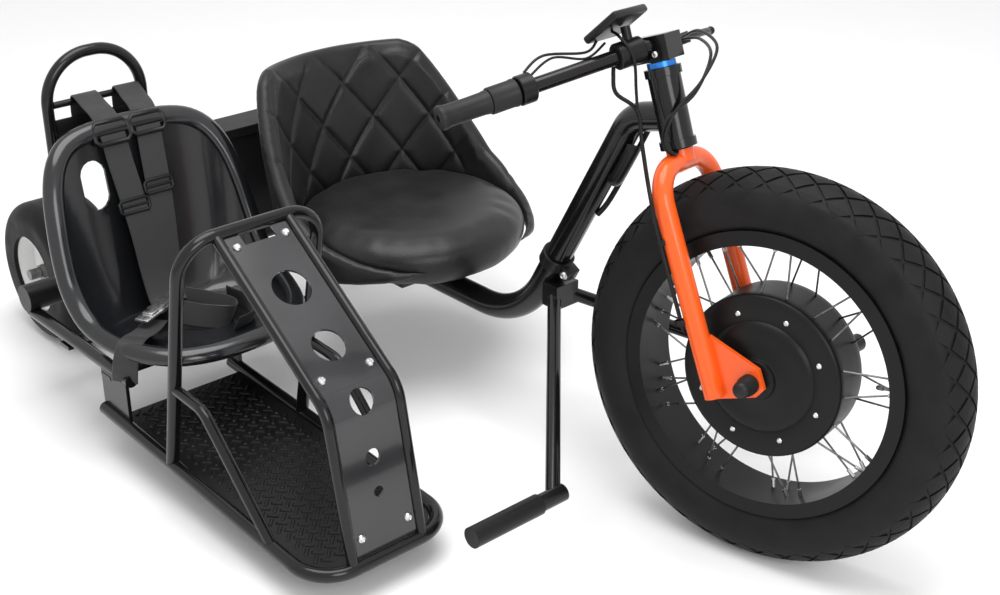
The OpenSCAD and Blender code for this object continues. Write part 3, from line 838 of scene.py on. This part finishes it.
latch = bmesh.new()
lie = Vector((-42, 83, 0)).normalized()
lie_place = frame_of(at(-893, -472, 221), lie, Vector((-lie.y, lie.x, 0)), Vector((0, 0, 1)))
for size, lift in (([94, 26, 5], 0), ([58, 20, 9], 2), ([16, 30, 7], 1)):
    add(latch, eased_block(size, 1.8), lie_place @ Matrix.Translation((0, 0, lift / 1000)))
keep("harness_latch", latch, "chassis", bright, None)

# %% [markdown]
# ## Hub motor and wheel fittings
# The motor is a drum with a flange, a raised cover with a soft edge and a small step round the axle. It
# is turned on a lathe, so here it is one section spun round the axle. Eight bright button bolts hold the
# cover on each side. Nipples seat every spoke in the rim, a valve stands in it, and caps cover the axle.

# %% motor drum
motor = bmesh.new()
half = [(7.6, 58), (24, 58), (28.5, 57), (30, 54.5), (30.5, 51.5), (33, 49.8), (60, 49.2), (70, 48.4), (76, 47),
        (80, 44.8), (82.2, 42.6), (83.4, 41.2), (85, 41.9), (104, 41.9), (113, 41.4), (118, 40), (120.8, 37.4),
        (121.8, 34), (121.8, 24)]
spun(motor, half + [(r, -z) for r, z in half[::-1]], 96)
drum = keep("motor_drum", motor, "front_wheel", cast_black, wheel_place)
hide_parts("hub_motor")


# %% cover bolts
def facing(origin, way):
    """A frame whose Z points along way."""
    way = Vector(way).normalized()
    side = way.orthogonal().normalized()
    return frame_of(origin, side, way.cross(side), way)


def button_head(radius, height, steps=14):
    """A low domed bolt head with a socket."""
    head = bmesh.new()
    spun(head, [(radius, 0), (radius, height * 0.3), (radius * 0.85, height * 0.72), (radius * 0.55, height),
                (radius * 0.46, height * 0.75), (0.001, height * 0.75)], steps)
    return head


def on_wheel(radius, turn, height):
    """A point of the wheel, from millimetres: radius and turn round the axle, height along it."""
    return Vector((radius * math.cos(turn), radius * math.sin(turn), height)) / 1000


bolts = bmesh.new()
cover_bolt = button_head(4.6, 3.2)
for count in range(8):
    for side in (-1, 1):
        add(bolts, cover_bolt, facing(on_wheel(96, math.radians(-7 + 45 * count), side * 41.7), (0, 0, side)))
print("cover bolts make", len(bolts.faces), "faces")

# %% spoke nipples
spokes_a_side, spoke_lean = 18, math.radians(7)
for side in (-1, 1):
    for count in range(spokes_a_side):
        turn = (count + (0.5 if side > 0 else 0)) * math.tau / spokes_a_side
        lean = spoke_lean if count % 2 == 0 else -spoke_lean
        outer, inner = on_wheel(196.5, turn + lean, side * 12), on_wheel(116, turn, side * 28)
        way = (inner - outer).normalized()
        swept(bolts, frames_along([outer + way * 0.003, outer + way * 0.017]), round_outline(2.9, 7))
keep("wheel_bolts_and_nipples", bolts, "front_wheel", bright, wheel_place)

# %% valve
stem = bmesh.new()
spun(stem, [(0.001, 0), (3.4, 0), (3.4, 5), (2.6, 6), (2.6, 24), (3.6, 25), (3.6, 33), (2.4, 35), (0.001, 35)], 12)
valve = bmesh.new()
turn = math.radians(13)
add(valve, stem, facing(on_wheel(192, turn, 0), (-math.cos(turn), -math.sin(turn), 0)))
keep("tyre_valve", valve, "front_wheel", dark_steel, wheel_place)

# %% axle caps
caps = bmesh.new()
for side in (-1, 1):
    cap = bmesh.new()
    spun(cap, [(15, 70), (15, 84), (13.6, 86), (12.6, 98), (11, 103), (7, 106), (0.001, 107)], 24)
    add(caps, cap, Matrix.Rotation(math.pi if side < 0 else 0, 4, "X"))
keep("axle_caps", caps, "steering", soft_rubber, wheel_place)

# %% [markdown]
# ## Handlebar fittings
# Grips, throttle and collars are turned parts too, threaded on the bar. They are spun in a frame whose Z
# runs from the bar's end towards the stem, so a length on the bar is a height in the section.

# %% frames on the bar
steer_place = frame_of(at(-182, 0, 585), ex, ey, up_steer)
bar_place = steer_place @ Matrix.Translation((0, 0, 0.150)) @ Matrix.Rotation(math.radians(-8.5), 4, "Y")


def bar_end(side):
    """A frame on the bar's end, its Z along the bar; side is -1 on the right and 1 on the left."""
    tip, root, up = Vector((-0.167, side * 0.300, 0)), Vector((0, side * 0.008, 0)), Vector((0, 0, 1))
    way = (root - tip).normalized()
    return bar_place @ frame_of(tip, up, way.cross(up), way)


print("bar ends at", [bar_end(side).translation for side in (-1, 1)])

# %% grips
sleeves = bmesh.new()
for side, neck, end in ((-1, 40, 67.6), (1, 90, 115.6)):
    grip = bmesh.new()
    spun(grip, [(5, -4), (5, -8), (13.5, -8), (16.5, -6.5), (17.4, -3), (16.6, 1), (15.6, 6), (15.4, neck),
                (15.8, end - 7.6), (16.6, end - 3.6), (16.6, end), (11.5, end)], 28)
    add(sleeves, grip, bar_end(side))
grips = keep("rubber_grips", sleeves, "steering", soft_rubber, None)
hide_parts("grips")

# %% throttle barrel
barrel = bmesh.new()
spun(barrel, [(11.6, 68.6), (17.5, 68.6), (18.8, 70), (18.8, 104), (19.6, 106), (19.6, 109.5), (18, 111),
              (11.6, 111)], 32)
turned = bmesh.new()
add(turned, barrel, bar_end(-1))
throttle = keep("throttle_barrel", turned, "steering", soft_rubber, None)
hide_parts("throttle")

# %% perches and the clamp beside the stem
levers = bmesh.new()
for side, start, end, radius, lip in ((-1, 114, 136, 21, 19.5), (-1, 272, 314, 19, 17.5), (1, 148, 172, 17, 15.6)):
    perch = bmesh.new()
    spun(perch, [(11.6, start), (lip, start), (radius, start + 1.5), (radius, end - 1.5), (lip, end),
                 (11.6, end)], 32)
    add(levers, perch, bar_end(side))
print("perches and clamp make", len(levers.faces), "faces")

# %% brake lever
bar_way = Vector((-167, 292, 0)).normalized()
ahead = Vector((bar_way.y, -bar_way.x, 0))
pivot = Vector((-167, 300, 0)) - bar_way * 160


def from_pivot(out, along):
    """A point so many millimetres ahead of the lever's pivot and along the bar from it."""
    return bar_place @ ((pivot + ahead * out + bar_way * along) / 1000)


blade = [from_pivot(36, 0), from_pivot(52, 22), from_pivot(70, 60), from_pivot(78, 96)]
swept(levers, frames_along([from_pivot(12, 0), from_pivot(43, 0)]), round_outline(9, 20))
swept(levers, frames_along(smooth_line(blade, 6), bar_place.to_3x3() @ Vector((0, 0, 1))), flat_outline(11, 6))
knob = bmesh.new()
bmesh.ops.create_uvsphere(knob, u_segments=16, v_segments=10, radius=0.0068)
add(levers, knob, Matrix.Translation(blade[-1]))
perches = keep("lever_perches", levers, "steering", satin, None)
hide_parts("brake_levers")

# %% bright bolts on the stem
screws = bmesh.new()
stem_bolt = button_head(5.2, 3.6)
for x, z in ((-14, 152), (6, 136)):
    add(screws, stem_bolt, steer_place @ facing(Vector((x, -22, z)) / 1000, (0, -1, 0)))
keep("stem_bolts", screws, "steering", bright, None)

# %% [markdown]
# ## Display
# A thin tilted computer sits on a post over the stem. Its body is a bevelled slab, and the dark glass is
# inset in its top face, because a real screen lies a little below the frame that holds it.

# %% display body and glass
display_place = (steer_place @ Matrix.Translation((-0.030, -0.048, 0.190))
                 @ Matrix.Rotation(math.radians(-25), 4, "Y"))
slab = eased_block([66, 86, 12], 4, segments=3)
screen_face = max(slab.faces, key=lambda face: face.calc_center_median().z * face.calc_area())
bmesh.ops.inset_individual(slab, faces=[screen_face], thickness=0.006)
bmesh.ops.inset_individual(slab, faces=[screen_face], thickness=0.0008, depth=-0.001)
screen_face.material_index = 1
bmesh.ops.transform(slab, matrix=display_place, verts=slab.verts)
post = bmesh.new()
spun(post, [(0.001, 159), (7, 159), (7, 184), (0.001, 184)], 20)
add(slab, post, steer_place @ Matrix.Translation((-0.020, -0.042, 0)))
screen = keep("display_body", slab, "steering", [satin, glass], None)
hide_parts("display")

# %% [markdown]
# ## Cables
# The brake hose, the lever cables and the wires are led along the bar, round the head tube and down the
# fork. Each is a thin round outline swept along a soft line through the places where it is held.

# %% cables on the steering
cable_runs = [
    ([(-42, -52, 142), (-46, -57, 122), (-46, -60, 96), (-22, -54, 66), (-14, -74, 16), (-4, -97, -46),
      (-9, -90, -112), (-7, -82, -250)], 3.0),
    ([(-54, 168, 141), (-10, 140, 138), (46, 62, 116), (42, 4, 72), (14, -38, 46), (2, -44, 14), (6, -34, -4),
      (4, -18, -2)], 2.5),
    ([(-40, 150, 146), (6, 118, 150), (56, 66, 124), (48, 14, 84), (24, -30, 54), (8, -48, 18), (12, -38, -4),
      (8, -20, -4)], 2.4),
    ([(-103, -187, 156), (-84, -160, 172), (-56, -100, 162), (-49, -76, 173)], 2.0),
    ([(-98, -180, 150), (-78, -148, 166), (-54, -104, 154), (-40, -70, 168)], 1.8),
    ([(-38, -52, 182), (-20, -62, 172), (-6, -60, 140), (-14, -58, 96), (-22, -54, 66)], 2.2)]
cables = bmesh.new()
for points, radius in cable_runs:
    line = smooth_line([steer_place @ (Vector(point) / 1000) for point in points], 7)
    swept(cables, frames_along(line), round_outline(radius, 8))
keep("held_cables", cables, "steering", satin, None)

# %% hose clips on the right fork leg
clips = bmesh.new()
clip_points = 12
for height in (-118, -236):
    ring = [steer_place @ Vector(((-7 + 9 * math.cos(a)) / 1000, (-84 + 8 * math.sin(a)) / 1000, height / 1000))
            for a in (math.tau * k / clip_points for k in range(clip_points))]
    swept(clips, frames_along(ring, centre=sum(ring, Vector()) / clip_points),
          [(-0.8, -4), (0.8, -4), (0.8, 4), (-0.8, 4)], closed=True)
keep("hose_clips", clips, "steering", satin, None)

# %% [markdown]
# ## Fittings on the down tube
# A wiring bundle is tied under the thick tube below the head, and a split collar with one bolt grips the
# tube above the foot pegs' arms. The collar is spun round the tube's own line; its ears are a small block.

# %% wiring under the tube
tube_top, tube_foot, tube_r = Vector((-274, 0, 607)), Vector((-506, 0, 190)), 22
down = (tube_foot - tube_top).normalized()
under = Vector((-down.z, 0, down.x))


def on_tube(along, off, side):
    """A point along the tube's line, off it on the under side, and to the left of it."""
    point = tube_top + down * along + under * off
    return at(point.x, side, point.z)


bundle = bmesh.new()
for run, per, radius, sides in (
        ([(30, 6, -6), (40, 9, -8), (92, 9, -8), (104, 5, -6)], 4, 11, 14),
        ([(-6, 3, 10), (20, 4.5, 13), (150, 4.5, 13), (190, 2, 6)], 5, 4.5, 10)):
    line = smooth_line([on_tube(along, tube_r + gap, side) for along, gap, side in run], per)
    swept(bundle, frames_along(line), round_outline(radius, sides))
keep("wiring_bundle", bundle, "chassis", satin, None)

# %% collar and its bolt
collar_along = 317
collar, band = bmesh.new(), bmesh.new()
spun(band, [(tube_r + 0.4, -11), (tube_r + 4, -11), (tube_r + 5, -10), (tube_r + 5, 10), (tube_r + 4, 11),
            (tube_r + 0.4, 11)], 48)
add(collar, band, facing(on_tube(collar_along, 0, 0), down))
add(collar, eased_block([18, 26, 20], 2),
    frame_of(on_tube(collar_along, tube_r + 11, 0), under, left, under.cross(left)))
keep("tube_collar", collar, "chassis", satin, None)
collar_bolt = bmesh.new()
add(collar_bolt, button_head(7, 5), facing(on_tube(collar_along, tube_r + 13, -13), (0, -1, 0)))
keep("collar_bolt", collar_bolt, "chassis", bright, None)

# %% [markdown]
# ## Footwell and panel
# The floor is raised-tread plate: short bars in two slanting directions, pressed up from the sheet. They
# are small wedges set out on a grid, every second one turned. The panel has a notch in its upper edge and
# six domed bolts. The notch could be a boolean cut, but three plane cuts leave clean edges to bridge.

# %% one tread bar
nose_place = Matrix.Translation(at(-284, -467, 52)) @ Matrix.Rotation(math.radians(3), 4, "Y")
bar = bmesh.new()
bmesh.ops.create_cube(bar, size=1, matrix=Matrix.Diagonal((0.019, 0.0062, 0.0022, 1)))
for vert in bar.verts:
    if vert.co.z > 0:
        vert.co.x *= 0.72
        vert.co.y *= 0.5
print("tread bar of", len(bar.faces), "faces")

# %% tread bars on the floor
diagonal = 16.0 * 0.7071
floor_back, floor_front, floor_side = -552, -32, 100
round_x, round_y, round_r = -62, 60, 34


def on_floor(x, y):
    """Whether a bar's middle lies on the floor, whose front corners are round."""
    if x < floor_back or x > floor_front or abs(y) > floor_side:
        return False
    return x <= round_x or math.hypot(x - round_x, max(abs(y) - round_y, 0)) <= round_r


tread_plate = bmesh.new()
for i in range(-34, 35):
    for j in range(-34, 35):
        x, y = -300 + (i + j) * diagonal, (i - j) * diagonal
        if on_floor(x, y):
            turn = math.radians(45 if (i + j) % 2 else -45)
            add(tread_plate, bar, Matrix.Translation((x / 1000, y / 1000, 0.0019)) @ Matrix.Rotation(turn, 4, "Z"))
keep("floor_tread_bars", tread_plate, "chassis", satin, nose_place, smooth=False)

# %% cut the notch in the panel's upper edge
panel_top, panel_bend, panel_foot = Vector((-324.6, 0, 400)), Vector((-58, 0, 232)), Vector((-4, 0, 16))
slope, drop = (panel_bend - panel_top).normalized(), (panel_foot - panel_bend).normalized()
notch_deep, notch_half = 30, 0.027
panel = bmesh.new()
panel.from_mesh(node["nose_panel"].data)
bmesh.ops.remove_doubles(panel, verts=panel.verts, dist=1e-6)
notch_end = nose_place @ ((panel_top + slope * notch_deep) / 1000)
notch_way = nose_place.to_3x3() @ slope
for point, way in ((notch_end, notch_way), (nose_place @ Vector((0, -notch_half, 0)), left),
                   (nose_place @ Vector((0, notch_half, 0)), left)):
    bmesh.ops.bisect_plane(panel, geom=panel.verts[:] + panel.edges[:] + panel.faces[:], plane_co=point,
                           plane_no=way, dist=1e-6)
cut = [face for face in panel.faces if (face.calc_center_median() - notch_end).dot(notch_way) < -1e-6
       and abs(face.calc_center_median().y - nose_place.translation.y) < notch_half - 0.0001]
bmesh.ops.delete(panel, geom=cut, context="FACES")
print("notch: removed", len(cut), "faces")

# %% close the notch's wall
outward = nose_place.to_3x3() @ Vector((-slope.z, 0, slope.x))
upper, lower = [], []
for edge in [edge for edge in panel.edges if edge.is_boundary]:
    heights = [(vert.co - notch_end).dot(outward) for vert in edge.verts]
    if abs(heights[0] - heights[1]) < 0.001:
        (upper if sum(heights) > 0 else lower).append(edge)
bmesh.ops.bridge_loops(panel, edges=upper + lower)
print("notch: bridged", len(upper), "and", len(lower), "edges")
# the panel takes the lightened enamel, whose base colour is painted reflection on top of the real coat
notched = keep("notched_panel", panel, "chassis", panel_gloss_painted_reflection, None, smooth=False)
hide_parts("nose_panel")

# %% panel bolts
panel_bolt = button_head(7.0, 4.6, 18)
heads = bmesh.new()
for side in (-42, 42):
    for point, way in ((panel_top + slope * 30, slope), (panel_top + slope * 269, slope),
                       (panel_foot - drop * 24, drop)):
        out = Vector((-way.z, 0, way.x))
        add(heads, panel_bolt, facing((point + Vector((0, side, 0)) + out * 2) / 1000, out))
keep("panel_button_bolts", heads, "chassis", bright, nose_place)

# %% measure the sizes
low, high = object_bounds()
